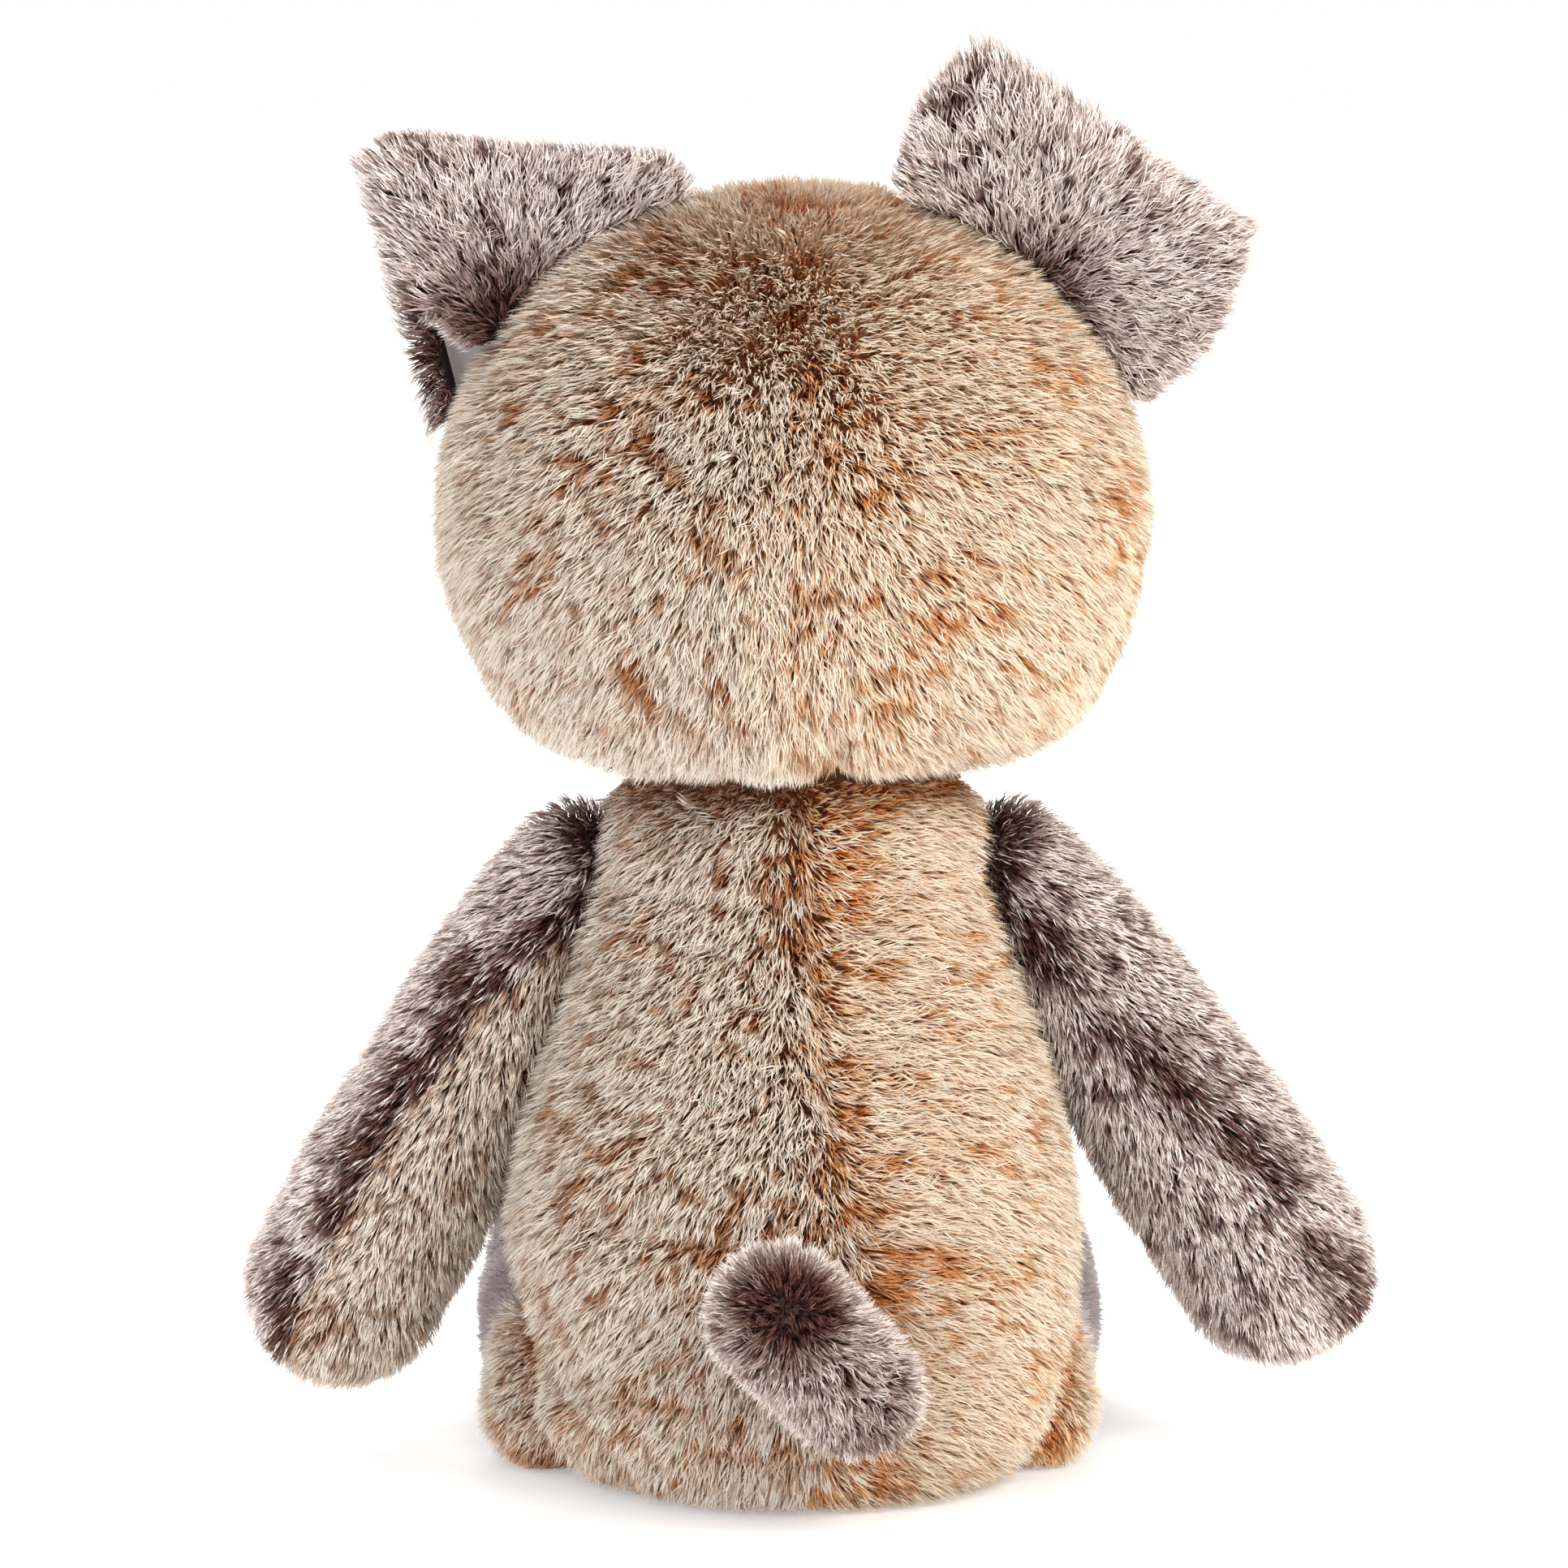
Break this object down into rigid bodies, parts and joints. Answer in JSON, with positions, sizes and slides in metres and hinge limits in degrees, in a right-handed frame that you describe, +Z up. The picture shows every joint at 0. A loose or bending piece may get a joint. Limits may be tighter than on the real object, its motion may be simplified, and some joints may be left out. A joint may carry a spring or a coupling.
{
  "type": "interactive plush pet",
  "caption": "Seated plush puppy with folded ears, hinged limbs and a squeeze-operated sound module in its stuffed body.",
  "frame": {"origin": "middle of the flat seat, on the surface the puppy sits on", "axes": "+Z up; the puppy faces -Y; +X is the puppy's left"},
  "size_m": [0.2735, 0.203, 0.3457],
  "materials": {
    "back_fur": "mid-length frosted faux fur, cream with rust roots",
    "limb_fur": "mid-length frosted faux fur, grey with dark brown roots",
    "ear_lining": "smooth white plush",
    "short_pile": "short lavender-grey pile",
    "belly_fur": "mid-length cream faux fur",
    "seat_cloth": "woven backing cloth",
    "fibre_fill": "polyester fibre",
    "bean_cloth": "cotton bag of pellets",
    "pouch_cloth": "nonwoven cloth",
    "hook_and_loop": "nylon hook and loop",
    "thread": "thick embroidery thread",
    "eye_plastic": "polished",
    "nose_plastic": "satin",
    "washer_plastic": "moulded",
    "case_plastic": "fine moulded texture",
    "button_plastic": "moulded",
    "switch_plastic": "moulded",
    "board": "solder mask",
    "steel": "plated"
  },
  "bodies": {
    "torso": {"torso_cover": "back_fur", "belly_panel": "belly_fur", "seat_panel": "seat_cloth", "torso_stuffing": "fibre_fill", "hook_strip": "hook_and_loop", "loop_strip": "hook_and_loop", "bean_bag": "bean_cloth", "module_pouch": "pouch_cloth", "module_front_shell": "case_plastic", "module_rear_shell": "case_plastic", "battery_door": "case_plastic", "door_screw": "steel", "case_screws": "steel", "circuit_board": "board", "contact_switch": "switch_plastic", "speaker": "switch_plastic", "button_cells": "steel", "battery_contacts": "steel"},
    "press_button": {"press_button": "button_plastic"},
    "slide_switch": {"slide_switch": "switch_plastic"},
    "neck": {"neck_pad": "fibre_fill"},
    "head": {"head_cover": "back_fur", "muzzle_cover": "belly_fur", "head_stuffing": "fibre_fill", "eye_left": "eye_plastic", "eye_right": "eye_plastic", "eye_washers": "washer_plastic", "nose": "nose_plastic", "nose_washer": "washer_plastic", "mouth_stitch": "thread"},
    "tail": {"tail_cover": "limb_fur", "tail_stuffing": "fibre_fill"},
    "ear_left": {"ear_left_fur": "limb_fur", "ear_left_lining": "ear_lining"},
    "arm_left": {"arm_left_cover": "limb_fur", "arm_left_stuffing": "fibre_fill"},
    "leg_left": {"leg_left_cover": "back_fur", "foot_left_cover": "short_pile", "foot_left_sole": "short_pile", "leg_left_stuffing": "fibre_fill"},
    "ear_right": {"ear_right_fur": "limb_fur", "ear_right_lining": "ear_lining"},
    "arm_right": {"arm_right_cover": "limb_fur", "arm_right_stuffing": "fibre_fill"},
    "leg_right": {"leg_right_cover": "back_fur", "foot_right_cover": "short_pile", "foot_right_sole": "short_pile", "leg_right_stuffing": "fibre_fill"}
  },
  "joints": [
    {"name": "neck_turn", "type": "hinge", "parent": "torso", "child": "neck", "pos_m": [0, 0, 0.15], "axis": [0, 0, 1], "range_deg": [-30, 30]},
    {"name": "neck_nod", "type": "hinge", "parent": "neck", "child": "head", "pos_m": [0, 0, 0.15], "axis": [1, 0, 0], "range_deg": [-12, 15]},
    {"name": "ear_left_flop", "type": "hinge", "parent": "head", "child": "ear_left", "pos_m": [0.0465, 0.007, 0.2935], "axis": [-0.7759, 0, 0.6309], "range_deg": [-12, 30]},
    {"name": "ear_right_flop", "type": "hinge", "parent": "head", "child": "ear_right", "pos_m": [-0.052, 0.007, 0.289], "axis": [-0.736, 0, -0.677], "range_deg": [-12, 30]},
    {"name": "tail_wag", "type": "hinge", "parent": "torso", "child": "tail", "pos_m": [-0.015, 0.074, 0.032], "axis": [0, 1, 0], "range_deg": [-25, 25]},
    {"name": "button_press", "type": "slide", "parent": "torso", "child": "press_button", "axis": [0, 1, 0], "range_m": [0, 0.002], "stiffness_N_per_m": 400, "springref_m": -0.0002},
    {"name": "switch_slide", "type": "slide", "parent": "torso", "child": "slide_switch", "axis": [1, 0, 0], "range_m": [0, 0.003]},
    {"name": "arm_left_swing", "type": "hinge", "parent": "torso", "child": "arm_left", "pos_m": [0.06, 0, 0.147], "axis": [-1, 0, 0], "range_deg": [-25, 75]},
    {"name": "arm_right_swing", "type": "hinge", "parent": "torso", "child": "arm_right", "pos_m": [-0.06, 0, 0.147], "axis": [-1, 0, 0], "range_deg": [-25, 75]},
    {"name": "leg_left_spread", "type": "hinge", "parent": "torso", "child": "leg_left", "pos_m": [0.048, -0.005, 0.025], "axis": [0, 0, 1], "range_deg": [-5, 20]},
    {"name": "leg_right_spread", "type": "hinge", "parent": "torso", "child": "leg_right", "pos_m": [-0.046, -0.005, 0.025], "axis": [0, 0, -1], "range_deg": [-5, 20]}
  ]
}
